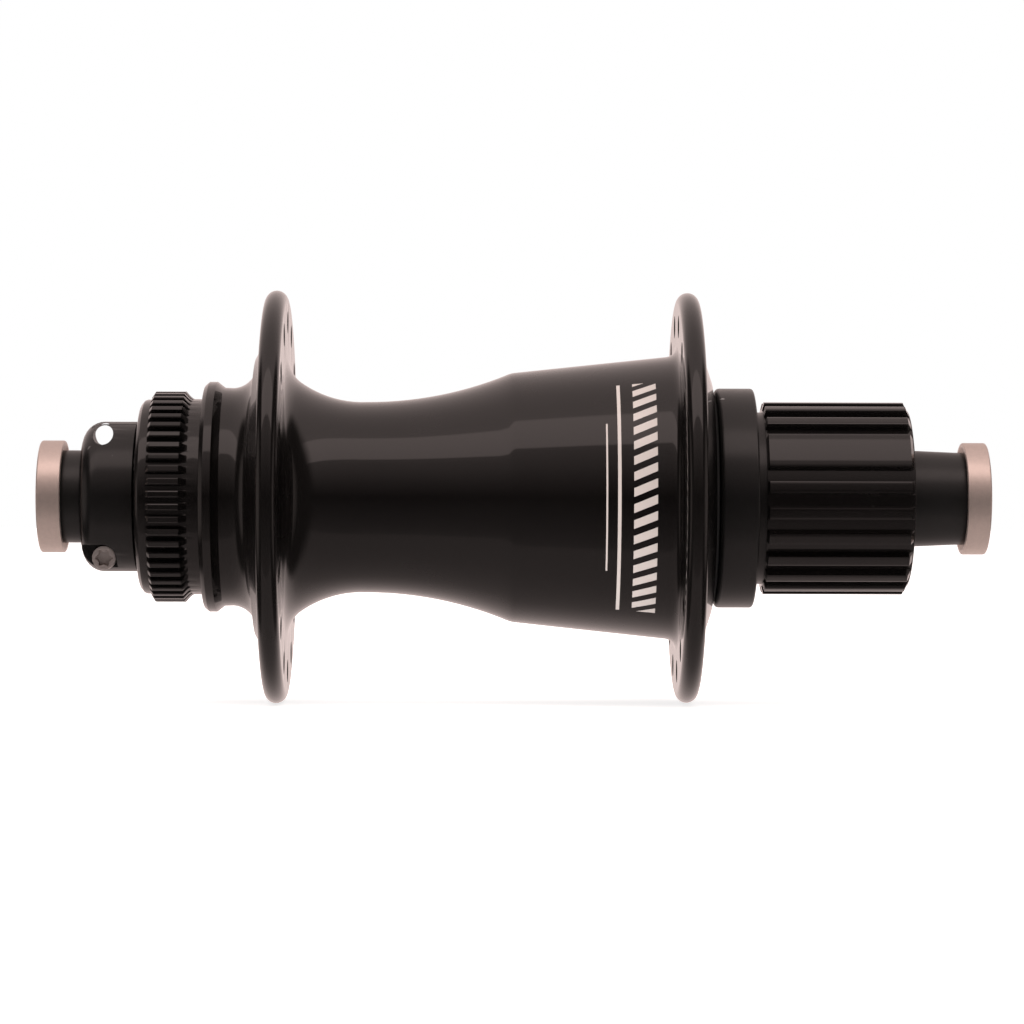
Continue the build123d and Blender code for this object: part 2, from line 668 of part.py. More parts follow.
# Needle bearing between the axle and the driver's tail
save("needle_cup", ring(tail_bore_r - needle_wall, tail_bore_r, needle_start, needle_end))
needle_pitch = bearing_land_r + running + needle_r
needle_middle = (needle_start + needle_end) / 2
needle = Pos(needle_pitch, needle_middle, 0) * Cylinder(needle_r, needle_length, rotation=(90, 0, 0))
window = Pos(needle_pitch, needle_middle, 0) * Cylinder(
    needle_r + running, needle_length + 2 * slip, rotation=(90, 0, 0)
)
save("needle_rollers", Compound(children=around(needle, needle_count)))
needle_cage = ring(
    needle_pitch - needle_web, needle_pitch + needle_web,
    needle_start + cage_end_gap, needle_end - cage_end_gap
)
save("needle_cage", needle_cage - around(window, needle_count))
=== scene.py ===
import cmath
import json
from math import atan2, cos, degrees, pi, radians, sin, tan
import bpy
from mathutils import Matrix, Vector


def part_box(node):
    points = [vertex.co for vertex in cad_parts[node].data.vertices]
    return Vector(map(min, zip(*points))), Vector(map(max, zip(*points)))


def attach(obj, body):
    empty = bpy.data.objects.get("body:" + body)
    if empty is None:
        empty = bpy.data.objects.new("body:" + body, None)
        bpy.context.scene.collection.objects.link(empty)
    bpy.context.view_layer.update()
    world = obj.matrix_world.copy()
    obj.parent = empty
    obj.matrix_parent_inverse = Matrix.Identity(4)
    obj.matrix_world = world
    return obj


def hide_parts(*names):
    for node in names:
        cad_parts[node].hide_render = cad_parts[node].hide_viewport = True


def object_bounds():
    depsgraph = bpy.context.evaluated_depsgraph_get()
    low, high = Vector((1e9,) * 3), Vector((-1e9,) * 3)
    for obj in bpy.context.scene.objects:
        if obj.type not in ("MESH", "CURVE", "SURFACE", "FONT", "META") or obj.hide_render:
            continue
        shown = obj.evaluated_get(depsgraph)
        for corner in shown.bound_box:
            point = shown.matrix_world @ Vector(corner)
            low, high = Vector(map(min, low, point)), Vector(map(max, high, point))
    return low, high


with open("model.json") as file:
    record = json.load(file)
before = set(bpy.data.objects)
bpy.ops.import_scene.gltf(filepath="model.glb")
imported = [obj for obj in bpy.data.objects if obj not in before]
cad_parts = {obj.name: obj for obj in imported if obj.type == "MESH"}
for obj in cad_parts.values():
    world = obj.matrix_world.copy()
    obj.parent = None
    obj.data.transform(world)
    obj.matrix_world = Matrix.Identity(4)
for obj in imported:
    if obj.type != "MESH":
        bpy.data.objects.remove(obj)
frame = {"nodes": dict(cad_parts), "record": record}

# Rear bicycle hub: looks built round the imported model. The axle lies along Y, disc side +Y, drive side -Y.
# Outlines are written in millimetres as (along the axle, radius) and turned into metres with mm.
cad_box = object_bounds()
mm = 0.001

# ---------------------------------------------------------------------------------------------------------
# Hub shell. One turned and milled piece of aluminium, anodised and polished to a deep black: disc spline,
# stop ring, two drilled spoke flanges, a waist and a tapered barrel. Turned as one outline, then the disc
# spline is raised out of it and the spoke holes are drilled through.
shell_low, shell_high = (corner[1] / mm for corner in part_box("hub_shell"))
flange_left = shell_high - 22.4
flange_right = shell_low + 3.95
rim_half = 1.75


def arc_through(a, b, c, steps):
    """Points from a to c along the circle through b, without a itself."""
    a, b, c = complex(*a), complex(*b), complex(*c)
    w = (c - a) / (b - a)
    centre = a - (a - b) * (w - abs(w) ** 2) / (2j * w.imag)
    sweep = cmath.phase((b - centre) / (a - centre)) + cmath.phase((c - centre) / (b - centre))
    points = [centre + (a - centre) * cmath.exp(1j * sweep * k / steps) for k in range(1, steps + 1)]
    return [(p.real, p.imag) for p in points]


def eased(corners, steps=4):
    """A closed outline whose corners are (along, radius, rounding)."""
    points = []
    for i, (along, radius, size) in enumerate(corners):
        here = complex(along, radius)
        if size == 0:
            points.append((along, radius))
            continue
        back = complex(*corners[i - 1][:2]) - here
        ahead = complex(*corners[(i + 1) % len(corners)][:2]) - here
        back, ahead = back / abs(back), ahead / abs(ahead)
        half = abs(cmath.phase(ahead / back)) / 2
        centre = here + (back + ahead) / abs(back + ahead) * size / sin(half)
        start = here + back * size / tan(half) - centre
        end = here + ahead * size / tan(half) - centre
        sweep = cmath.phase(end / start)
        for k in range(steps + 1):
            p = centre + start * cmath.exp(1j * sweep * k / steps)
            points.append((p.real, p.imag))
    return points


def turned_piece(name, outline, steps):
    """Turns a closed outline round the axle, pulling each ring of points out of the one before."""
    bpy.ops.object.select_all(action="DESELECT")
    first_along, first_radius = outline[0]
    bpy.ops.mesh.primitive_circle_add(
        vertices=steps, radius=first_radius * mm, location=(0, first_along * mm, 0), rotation=(pi / 2, 0, 0)
    )
    piece = bpy.context.object
    piece.name = name
    bpy.ops.object.transform_apply(location=True, rotation=True, scale=True)
    bpy.ops.object.mode_set(mode="EDIT")
    bpy.ops.mesh.select_all(action="SELECT")
    for (along, radius), (next_along, next_radius) in zip(outline, outline[1:] + outline[:1]):
        bpy.ops.mesh.extrude_edges_move(
            TRANSFORM_OT_translate={"value": (0, (next_along - along) * mm, 0)}
        )
        grow = next_radius / radius
        bpy.ops.transform.resize(value=(grow, 1, grow), center_override=(0, next_along * mm, 0))
    bpy.ops.mesh.select_all(action="SELECT")
    bpy.ops.mesh.remove_doubles(threshold=0.002 * mm)
    bpy.ops.mesh.normals_make_consistent(inside=False)
    bpy.ops.object.mode_set(mode="OBJECT")
    return piece


def scale_points(piece, chosen, factor):
    """Moves the chosen points of a turned piece in or out from the axle."""
    bpy.ops.object.mode_set(mode="EDIT")
    bpy.ops.mesh.select_mode(type="VERT")
    bpy.ops.mesh.select_all(action="DESELECT")
    bpy.ops.object.mode_set(mode="OBJECT")
    for v in piece.data.vertices:
        v.select = chosen(v.co)
    bpy.ops.object.mode_set(mode="EDIT")
    bpy.ops.transform.resize(value=(factor, 1, factor), center_override=(0, 0, 0))
    bpy.ops.object.mode_set(mode="OBJECT")


def turn_step(point, steps):
    """Which of the evenly spaced points round the axle this one is."""
    return round(atan2(point.z, -point.x) / (2 * pi) * steps) % steps


def finish_mesh(piece, sharp=30):
    """Smooth shading that keeps real corners crisp."""
    bpy.ops.object.select_all(action="DESELECT")
    piece.select_set(True)
    bpy.context.view_layer.objects.active = piece
    bpy.ops.object.shade_smooth_by_angle(angle=radians(sharp))


def cut_away(piece, cutter):
    """Cuts one piece out of another and throws the cutter away."""
    bpy.ops.object.select_all(action="DESELECT")
    piece.select_set(True)
    bpy.context.view_layer.objects.active = piece
    cut = piece.modifiers.new("cut", "BOOLEAN")
    cut.operation = "DIFFERENCE"
    cut.solver = "EXACT"
    cut.object = cutter
    bpy.ops.object.modifier_apply(modifier=cut.name)
    bpy.data.objects.remove(cutter)


lip = shell_high
lip_r = 16.15
disc_thread_r = 14.2
disc_teeth = 52
spline_root_r = 16.25
spline_tip_r = 17.5
spline_top = lip - 1.9
spline_foot = spline_top - 6.8
stop_out = spline_foot - 1.85
stop_ring_r = 19.13
neck_r = 18.1
rim_left_r = 34.3
rim_right_r = 34.1
rim_left_from = 32.3  # where the rims start to round over
rim_right_from = 32.2
spoke_circle_r = 29.0
boss_left = flange_left + rim_half
face_left = flange_left - rim_half
face_right = flange_right + rim_half
waist_along = flange_left - 14.9
waist_r = 15.85
barrel_edge = flange_left - 38.9
barrel_foot = face_right + 1.6
bearing_bore_r = 18.5
bearing_seat = shell_low + 8.5
ratchet_bore_r = 17.4
shell_bore_r = 12.5
left_bearing_r = 13.0

# places along a spline tooth and how far out it stands there: blunt outside, run out by the cutter inside
spline_stations = [
    (spline_top - 0.04, 16.8), (spline_top - 0.5, spline_tip_r), (spline_foot + 1.4, spline_tip_r),
    (spline_foot + 1.0, 17.0), (spline_foot + 0.6, 16.6), (spline_foot + 0.25, 16.35)
]

# Lip, disc spline and stop ring.
outline = eased([
    (lip - 5.0, disc_thread_r, 0), (lip - 0.3, disc_thread_r, 0), (lip, 14.5, 0.1), (lip, 15.2, 0),
    (lip - 0.12, 15.45, 0), (lip - 0.6, 16.0, 0), (lip - 1.05, lip_r, 0), (lip - 1.8, lip_r, 0),
    (spline_top, lip_r, 0), *[(along, spline_root_r, 0) for along, tooth_r in spline_stations],
    (spline_foot, spline_root_r, 0), (stop_out, spline_root_r, 0.12), (stop_out, 18.5, 0.3),
    (stop_out - 0.75, stop_ring_r, 0.2), (stop_out - 2.0, stop_ring_r, 0.15), (stop_out - 3.25, 18.15, 0.5),
    (stop_out - 4.8, neck_r, 0),
], 3)
# Left flange, from its boss over the rim to its foot on the waist.
outline += arc_through((stop_out - 4.8, neck_r), (boss_left + 2.95, 19.1), (boss_left + 1.6, 23.2), 11)
outline += [(boss_left + 0.45, 25.3), (boss_left + 0.1, 26.4), (boss_left, 27.0), (boss_left, spoke_circle_r)]
outline += [(boss_left, rim_left_from)]
outline += arc_through(
    (boss_left, rim_left_from), (flange_left, rim_left_r), (face_left, rim_left_from), 14
)
outline += [(face_left, spoke_circle_r), (face_left, 23.6)]
outline += arc_through((face_left, 23.6), (face_left - 0.62, 20.95), (face_left - 1.9, 19.3), 8)
# Waist and tapered barrel.
outline += arc_through((face_left - 1.9, 19.3), (flange_left - 8.55, 16.75), (waist_along, waist_r), 11)
outline += arc_through((waist_along, waist_r), (waist_along - 12.0, 17.02), (barrel_edge + 0.5, 20.5), 14)
outline += arc_through((barrel_edge + 0.5, 20.5), (barrel_edge, 20.66), (barrel_edge - 0.6, 20.77), 3)
outline += [(barrel_edge - 13.0, 22.1), (barrel_foot + 0.2, 23.45)]
# Right flange and the open end.
outline += arc_through((barrel_foot + 0.2, 23.45), (face_right + 0.5, 24.05), (face_right, 25.7), 6)
outline += [(face_right, spoke_circle_r), (face_right, rim_right_from)]
outline += arc_through(
    (face_right, rim_right_from), (flange_right, rim_right_r), (flange_right - rim_half, rim_right_from), 14
)
outline += [(flange_right - rim_half, spoke_circle_r), (flange_right - rim_half - 0.02, 26.5)]
outline += [(flange_right - rim_half - 0.25, 25.4), (shell_low + 0.05, 19.6), (shell_low, 19.35)]
# Bore: large bearing, ratchet, middle and left bearing.
outline += [(shell_low, bearing_bore_r), (bearing_seat, bearing_bore_r), (bearing_seat, ratchet_bore_r)]
outline += [(shell_low + 24.8, ratchet_bore_r), (shell_low + 27.0, shell_bore_r)]
outline += [(lip - 11.8, shell_bore_r), (lip - 11.8, left_bearing_r), (lip - 5.6, left_bearing_r)]

spline_steps = 12
shell_steps = disc_teeth * spline_steps
hub_shell = turned_piece("hub_shell_finish", outline, shell_steps)

for along, tooth_r in spline_stations:
    tooth_edge_r = tooth_r - 0.1 if tooth_r == spline_tip_r else tooth_r
    for steps, out_r in (((11, 5), tooth_edge_r), ((0, 1, 2, 3, 4), tooth_r)):
        scale_points(hub_shell, lambda p: (
            abs(p.y / mm - along) < 0.02 and p.x ** 2 + p.z ** 2 > (15.5 * mm) ** 2
            and turn_step(p, shell_steps) % spline_steps in steps
        ), out_r / spline_root_r)

# Spoke holes: 16 in each flange, eased at both faces where the spoke's elbow lies.
spoke_count = 16
spoke_hole_r = 1.25
for middle, first_angle in ((flange_left, -2.0), (flange_right, -14.0)):
    drill_profile = [(5.0, 2.6), (rim_half, 1.9), (rim_half - 0.15, 1.6), (rim_half - 0.7, spoke_hole_r)]
    drill_outline = [(middle + away, radius) for away, radius in drill_profile]
    drill_outline += [(middle - away, radius) for away, radius in reversed(drill_profile)]
    drills = [turned_piece("spoke_drill", drill_outline + [(middle - 5, 0.01), (middle + 5, 0.01)], 24)]
    for k in range(1, spoke_count):
        drill = drills[0].copy()
        drill.data = drills[0].data.copy()
        bpy.context.collection.objects.link(drill)
        drills.append(drill)
    for k, drill in enumerate(drills):
        turn = radians(first_angle + k * 360 / spoke_count)
        drill.location = (spoke_circle_r * mm * sin(turn), 0, spoke_circle_r * mm * cos(turn))
    bpy.ops.object.select_all(action="DESELECT")
    for drill in drills:
        drill.select_set(True)
    bpy.context.view_layer.objects.active = drills[0]
    bpy.ops.object.join()
    cut_away(hub_shell, drills[0])
finish_mesh(hub_shell, 28)


def gloss_black(name, tone, coat_roughness):
    """Black anodising under a clear polish: uneven depth in the black and a slight haze in the polish."""
    material = bpy.data.materials.new(name)
    material.use_nodes = True
    nodes, links = material.node_tree.nodes, material.node_tree.links
    shader = nodes["Principled BSDF"]
    shader.inputs["Specular IOR Level"].default_value = 0.12
    shader.inputs["Coat Weight"].default_value = 1.0
    shader.inputs["Coat IOR"].default_value = 1.5
    shader.inputs["Coat Roughness"].default_value = coat_roughness
    place = nodes.new("ShaderNodeTexCoord")
    cloud = nodes.new("ShaderNodeTexNoise")
    cloud.inputs["Scale"].default_value = 90
    cloud.inputs["Detail"].default_value = 5
    links.new(place.outputs["Object"], cloud.inputs["Vector"])
    gloss = nodes.new("ShaderNodeMapRange")
    gloss.inputs["To Min"].default_value = 0.18
    gloss.inputs["To Max"].default_value = 0.34
    links.new(cloud.outputs["Fac"], gloss.inputs["Value"])
    links.new(gloss.outputs["Result"], shader.inputs["Roughness"])
    shade = nodes.new("ShaderNodeMix")
    shade.data_type = "RGBA"
    shade.inputs["A"].default_value = (tone * 0.8, tone * 0.7, tone * 0.68, 1)
    shade.inputs["B"].default_value = (tone * 1.25, tone * 1.05, tone, 1)
    links.new(cloud.outputs["Fac"], shade.inputs["Factor"])
    links.new(shade.outputs["Result"], shader.inputs["Base Color"])
    swell = nodes.new("ShaderNodeTexNoise")
    swell.inputs["Scale"].default_value = 55
    swell.inputs["Detail"].default_value = 1
    links.new(place.outputs["Object"], swell.inputs["Vector"])
    bump = nodes.new("ShaderNodeBump")
    bump.inputs["Strength"].default_value = 0.25
    bump.inputs["Distance"].default_value = 0.03 * mm
    links.new(swell.outputs["Fac"], bump.inputs["Height"])
    links.new(bump.outputs["Normal"], shader.inputs["Normal"])
    links.new(bump.outputs["Normal"], shader.inputs["Coat Normal"])
    return material


shell_black = gloss_black("polished_black_anodising", 0.003, 0.012)

# A band of slanted strokes and two fine lines are printed in silver on the barrel.
nodes, links = shell_black.node_tree.nodes, shell_black.node_tree.links


def sum_up(operation, first, second=0.0, third=0.0):
    """One step of arithmetic in the material."""
    step = nodes.new("ShaderNodeMath")
    step.operation = operation
    for socket, value in zip(step.inputs, (first, second, third)):
        if isinstance(value, (int, float)):
            socket.default_value = value
        else:
            links.new(value, socket)
    return step.outputs["Value"]


def within(value, middle, half_width):
    """1 where a value lies within half_width of middle."""
    return sum_up("COMPARE", value, middle, half_width)


axes = nodes.new("ShaderNodeSeparateXYZ")
links.new(nodes["Texture Coordinate"].outputs["Object"], axes.inputs["Vector"])
along_axle = axes.outputs["Y"]
round_axle = sum_up("ARCTAN2", axes.outputs["Z"], sum_up("MULTIPLY", axes.outputs["X"], -1.0))
print_middle = face_right + 6.0
print_half_width = 1.9
print_half_turn = 54
stroke_pitch = 6.5
stroke_share = 0.55
stroke_slant = 18.0
slant = sum_up("MULTIPLY_ADD", along_axle, stroke_slant, round_axle)
stroke_place = sum_up("FRACT", sum_up("DIVIDE", slant, radians(stroke_pitch)))
strokes = sum_up("LESS_THAN", stroke_place, stroke_share)
printed = sum_up("MULTIPLY", strokes, within(along_axle, print_middle * mm, print_half_width * mm))
printed = sum_up("MULTIPLY", printed, within(round_axle, 0.0, radians(print_half_turn)))
for offset, half_width, half_turn in ((4.2, 0.28, print_half_turn), (6.2, 0.14, 32)):
    line = within(along_axle, (print_middle + offset) * mm, half_width * mm)
    line = sum_up("MULTIPLY", line, within(round_axle, 0.0, radians(half_turn)))
    printed = sum_up("MAXIMUM", printed, line)
ink = nodes.new("ShaderNodeMix")
ink.data_type = "RGBA"
ink.inputs["B"].default_value = (0.62, 0.57, 0.54, 1)
links.new(printed, ink.inputs["Factor"])
links.new(nodes["Mix"].outputs["Result"], ink.inputs["A"])
links.new(ink.outputs["Result"], nodes["Principled BSDF"].inputs["Base Color"])

# Inside the spoke holes the black is dull, since no polish reaches there.
bore_black = shell_black.copy()
bore_black.name = "dull_black_bores"
dull = bore_black.node_tree.nodes["Principled BSDF"]
dull.inputs["Coat Weight"].default_value = 0
dull.inputs["Specular IOR Level"].default_value = 0.05
hub_shell.data.materials.append(shell_black)
hub_shell.data.materials.append(bore_black)
for face in hub_shell.data.polygons:
    from_axle = (face.center.x ** 2 + face.center.z ** 2) ** 0.5 / mm
    if abs(from_axle - spoke_circle_r) < 2.5 and abs(face.normal.y) < 0.9:
        face.material_index = 1
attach(hub_shell, "shell_body")
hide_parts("hub_shell")

# ---------------------------------------------------------------------------------------------------------
# Adjusting collar. A split aluminium ring, satin black, that screws along the axle to load the bearings.
# Turned, then milled for the pin hole, the clamp slot and the flat pocket under the pinch screw.
collar_low, collar_high = (corner[1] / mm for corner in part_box("adjusting_collar"))
collar_inner = collar_high - 9.05
collar_r = 12.45
collar_bore_r = 8.45
collar_nose_r = 10.6
collar_outline = eased([
    (collar_inner, collar_nose_r, 0), (collar_inner, collar_r, 0.12), (collar_high, collar_r, 3.5),
    (collar_high, collar_bore_r, 0.2), (collar_low, collar_bore_r, 0), (collar_low, 9.7, 0.1),
    (collar_low + 1.1, collar_nose_r, 0.1)
], 8)
collar = turned_piece("adjusting_collar_finish", collar_outline, 160)
screw_low, screw_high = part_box("pinch_screw")
screw_along = (screw_low[1] + screw_high[1]) / 2 / mm
screw_z = (screw_low[2] + screw_high[2]) / 2 / mm


def block(name, low, high):
    """A plain block used as a cutter."""
    bpy.ops.object.select_all(action="DESELECT")
    middle = [(a + b) / 2 * mm for a, b in zip(low, high)]
    bpy.ops.mesh.primitive_cube_add(size=1, location=middle)
    bpy.context.object.name = name
    bpy.ops.transform.resize(value=[(b - a) * mm for a, b in zip(low, high)])
    bpy.ops.object.transform_apply(location=True, rotation=True, scale=True)
    return bpy.context.object


def rod_across(name, radius, start, end, along, height, points=48):
    """A round bar that runs front to back, used as a cutter."""
    bpy.ops.object.select_all(action="DESELECT")
    bpy.ops.mesh.primitive_cylinder_add(
        vertices=points, radius=radius * mm, depth=(end - start) * mm,
        location=((start + end) / 2 * mm, along * mm, height * mm), rotation=(0, pi / 2, 0)
    )
    bpy.context.object.name = name
    bpy.ops.object.transform_apply(location=True, rotation=True, scale=True)
    return bpy.context.object


seat_x = -4.3
pocket_r = 2.15
slot_half = 0.7
past = 20  # cutters reach past the collar's outside
under = -14.5
cut_away(collar, rod_across("pin_hole", 1.66, -past, 0, screw_along + 0.1, -screw_z))
cut_away(collar, rod_across("pin_hole_behind", 2.15, -3.5, past, screw_along + 0.5, -screw_z))
cut_away(collar, rod_across("head_pocket", pocket_r, -past, seat_x, screw_along, screw_z))
cut_away(collar, block("pocket_outboard", (-past, screw_along, under), (seat_x, 80, screw_z + pocket_r)))
cut_away(collar, block(
    "pocket_below", (-past, screw_along - pocket_r, under), (seat_x - 0.01, 80.2, screw_z)
))
cut_away(collar, rod_across("screw_hole", 1.55, -past, past, screw_along, screw_z))
cut_away(collar, block("clamp_slot", (-slot_half, collar_low - 1, -14), (slot_half, 80, -7.5)))


def eased_edges(piece, width, segments=2, angle=35):
    """Breaks the sharp edges as a deburring tool would."""
    bpy.ops.object.select_all(action="DESELECT")
    piece.select_set(True)
    bpy.context.view_layer.objects.active = piece
    bevel = piece.modifiers.new("edges", "BEVEL")
    bevel.width = width * mm
    bevel.segments = segments
    bevel.limit_method = "ANGLE"
    bevel.angle_limit = radians(angle)
    bevel.harden_normals = False
    bpy.ops.object.modifier_apply(modifier=bevel.name)


eased_edges(collar, 0.12)
finish_mesh(collar)


def satin_black(name, tone, roughness, turning):
    """Black anodising over fine turning marks, with small pale scuffs."""
    material = bpy.data.materials.new(name)
    material.use_nodes = True
    nodes, links = material.node_tree.nodes, material.node_tree.links
    shader = nodes["Principled BSDF"]
    shader.inputs["IOR"].default_value = 1.5
    place = nodes.new("ShaderNodeTexCoord")
    grain = nodes.new("ShaderNodeTexNoise")
    grain.inputs["Scale"].default_value = 700
    grain.inputs["Detail"].default_value = 6
    links.new(place.outputs["Object"], grain.inputs["Vector"])
    rough = nodes.new("ShaderNodeMapRange")
    rough.inputs["To Min"].default_value = roughness * 0.8
    rough.inputs["To Max"].default_value = roughness * 1.25
    links.new(grain.outputs["Fac"], rough.inputs["Value"])
    links.new(rough.outputs["Result"], shader.inputs["Roughness"])
    specks = nodes.new("ShaderNodeTexNoise")
    specks.inputs["Scale"].default_value = 420
    specks.inputs["Detail"].default_value = 1
    links.new(place.outputs["Object"], specks.inputs["Vector"])
    only_few = nodes.new("ShaderNodeMapRange")
    only_few.inputs["From Min"].default_value = 0.76
    only_few.inputs["From Max"].default_value = 0.80
    links.new(specks.outputs["Fac"], only_few.inputs["Value"])
    shade = nodes.new("ShaderNodeMix")
    shade.data_type = "RGBA"
    shade.inputs["A"].default_value = (tone, tone * 0.97, tone * 0.96, 1)
    shade.inputs["B"].default_value = (0.22, 0.21, 0.21, 1)
    links.new(only_few.outputs["Result"], shade.inputs["Factor"])
    links.new(shade.outputs["Result"], shader.inputs["Base Color"])
    stretch = nodes.new("ShaderNodeMapping")
    stretch.inputs["Scale"].default_value = (0.02, 1, 0.02)
    links.new(place.outputs["Object"], stretch.inputs["Vector"])
    marks = nodes.new("ShaderNodeTexNoise")
    marks.inputs["Scale"].default_value = 9000
    marks.inputs["Detail"].default_value = 2
    links.new(stretch.outputs["Vector"], marks.inputs["Vector"])
    bump = nodes.new("ShaderNodeBump")
    bump.inputs["Strength"].default_value = turning
    bump.inputs["Distance"].default_value = 0.01 * mm
    links.new(marks.outputs["Fac"], bump.inputs["Height"])
    links.new(bump.outputs["Normal"], shader.inputs["Normal"])
    return material


collar_black = satin_black("satin_black_anodising", 0.004, 0.22, 0.15)
collar.data.materials.append(collar_black)
collar.data.materials.append(bore_black)
for face in collar.data.polygons:
    up_from_hole = face.center.z / mm + screw_z
    across_hole = face.center.y / mm - screw_along
    if abs(face.normal.x) < 0.3 and up_from_hole ** 2 + across_hole ** 2 < 2.7 ** 2:
        face.material_index = 1
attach(collar, "collar_body")
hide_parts("adjusting_collar")

# ---------------------------------------------------------------------------------------------------------
# Pinch screw. A small steel cap screw with a six-lobed socket, plated grey, that closes the collar's slot.
# Made from a round bar: the socket is marked out on the head's face, pulled into six lobes and sunk.
head_face = screw_low[0] / mm
head_r = 1.95
head_height = 2.0
shank_r = 1.5
socket_depth = 1.0
screw = rod_across(
    "pinch_screw_finish", head_r, head_face, head_face + head_height, screw_along, screw_z, 48
)
bpy.ops.object.mode_set(mode="EDIT")
bpy.ops.mesh.select_mode(type="FACE")
bpy.ops.mesh.select_all(action="DESELECT")
bpy.ops.object.mode_set(mode="OBJECT")
for face in screw.data.polygons:
    face.select = face.normal.x < -0.9
bpy.ops.object.mode_set(mode="EDIT")
bpy.ops.mesh.inset(thickness=0.25 * mm)
bpy.ops.transform.translate(value=(-0.001 * mm, 0, 0))
bpy.ops.mesh.inset(thickness=0.2 * mm)
bpy.ops.object.mode_set(mode="OBJECT")
rim_points = [v.index for v in screw.data.vertices if v.select]
for group, factor in ((0, 1.0), (1, 0.92), (2, 0.8), (3, 0.73), (4, 0.7)):
    bpy.ops.object.mode_set(mode="EDIT")
    bpy.ops.mesh.select_mode(type="VERT")
    bpy.ops.mesh.select_all(action="DESELECT")
    bpy.ops.object.mode_set(mode="OBJECT")
    for index in rim_points:
        point = screw.data.vertices[index]
        angle = degrees(atan2(point.co.z / mm - screw_z, point.co.y / mm - screw_along)) % 60
        away = round(min(angle, 60 - angle) / 7.5)
        point.select = away == group
    bpy.ops.object.mode_set(mode="EDIT")
    centre = (head_face * mm, screw_along * mm, screw_z * mm)
    bpy.ops.transform.resize(value=(1, factor, factor), center_override=centre)
    bpy.ops.object.mode_set(mode="OBJECT")
bpy.ops.object.mode_set(mode="EDIT")
bpy.ops.mesh.select_mode(type="FACE")
bpy.ops.mesh.select_all(action="DESELECT")
bpy.ops.object.mode_set(mode="OBJECT")
for face in screw.data.polygons:
    middle = face.center / mm
    face.select = face.normal.x < -0.9 and (middle.y - screw_along) ** 2 + (middle.z - screw_z) ** 2 < 0.1
bpy.ops.object.mode_set(mode="EDIT")
bpy.ops.mesh.extrude_region_move(TRANSFORM_OT_translate={"value": (socket_depth * mm, 0, 0)})
bpy.ops.transform.resize(value=(1, 0.9, 0.9))
bpy.ops.object.mode_set(mode="OBJECT")
shank = rod_across("screw_shank", shank_r, head_face + 1.9, screw_high[0] / mm, screw_along, screw_z, 32)
bpy.ops.object.select_all(action="DESELECT")
shank.select_set(True)
screw.select_set(True)
bpy.context.view_layer.objects.active = screw
bpy.ops.object.join()
eased_edges(screw, 0.12, 3, 40)
finish_mesh(screw)


def bare_metal(name, colour, roughness, grain_scale, depth, metallic=1.0):
    """Metal without a black coat: fine grain, slightly uneven colour and gloss."""
    material = bpy.data.materials.new(name)
    material.use_nodes = True
    nodes, links = material.node_tree.nodes, material.node_tree.links
    shader = nodes["Principled BSDF"]
    shader.inputs["Metallic"].default_value = metallic
    place = nodes.new("ShaderNodeTexCoord")
    grain = nodes.new("ShaderNodeTexNoise")
    grain.inputs["Scale"].default_value = grain_scale
    grain.inputs["Detail"].default_value = 8
    grain.inputs["Roughness"].default_value = 0.7
    links.new(place.outputs["Object"], grain.inputs["Vector"])
    rough = nodes.new("ShaderNodeMapRange")
    rough.inputs["To Min"].default_value = roughness * 0.85
    rough.inputs["To Max"].default_value = roughness * 1.2
    links.new(grain.outputs["Fac"], rough.inputs["Value"])
    links.new(rough.outputs["Result"], shader.inputs["Roughness"])
    shade = nodes.new("ShaderNodeMix")
    shade.data_type = "RGBA"
    shade.inputs["A"].default_value = (*[c * 0.86 for c in colour], 1)
    shade.inputs["B"].default_value = (*[min(1, c * 1.12) for c in colour], 1)
    links.new(grain.outputs["Fac"], shade.inputs["Factor"])
    links.new(shade.outputs["Result"], shader.inputs["Base Color"])
    bump = nodes.new("ShaderNodeBump")
    bump.inputs["Strength"].default_value = depth
    bump.inputs["Distance"].default_value = 0.02 * mm
    links.new(grain.outputs["Fac"], bump.inputs["Height"])
    links.new(bump.outputs["Normal"], shader.inputs["Normal"])
    return material


screw_steel = bare_metal("plated_screw_steel", (0.36, 0.31, 0.295), 0.34, 900, 0.2, 0.6)
screw.data.materials.append(screw_steel)
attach(screw, "pinch_screw_body")
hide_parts("pinch_screw")

# ---------------------------------------------------------------------------------------------------------
# Axle. A hollow aluminium tube, satin black, seen at both ends between the collar or driver and the caps.
# Turned in one go with its bearing shoulders and stub ends.
axle_low, axle_high = (corner[1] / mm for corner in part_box("axle"))
thru_axle_r = 6.05
stub_r = 7.68
sleeve_r = 7.95
land_r = 8.5
shoulder_r = 9.4
thread_r = 8.4
axle = turned_piece("axle_finish", eased([
    (axle_low, thru_axle_r, 0.1), (axle_low, stub_r, 0.15), (axle_low + 4.05, stub_r, 0),
    (axle_low + 10.2, sleeve_r, 0), (axle_low + 16.6, sleeve_r, 0.1), (axle_low + 16.6, land_r, 0.1),
    (axle_low + 23.5, land_r, 0), (axle_low + 23.5, shoulder_r, 0.1), (axle_low + 25.1, shoulder_r, 0.1),
    (axle_low + 25.1, land_r, 0), (axle_high - 29.1, land_r, 0), (axle_high - 29.1, shoulder_r, 0.1),
    (axle_high - 27.5, shoulder_r, 0.1), (axle_high - 27.5, land_r, 0), (axle_high - 22.5, land_r, 0),
    (axle_high - 22.5, thread_r, 0), (axle_high - 6.95, thread_r, 0.1), (axle_high - 6.25, stub_r, 0.1),
    (axle_high, stub_r, 0.15), (axle_high, thru_axle_r, 0.1)
]), 128)
finish_mesh(axle)
axle_black = satin_black("greased_axle_black", 0.006, 0.3, 0.3)
axle.data.materials.append(axle_black)
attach(axle, "axle_body")
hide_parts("axle")

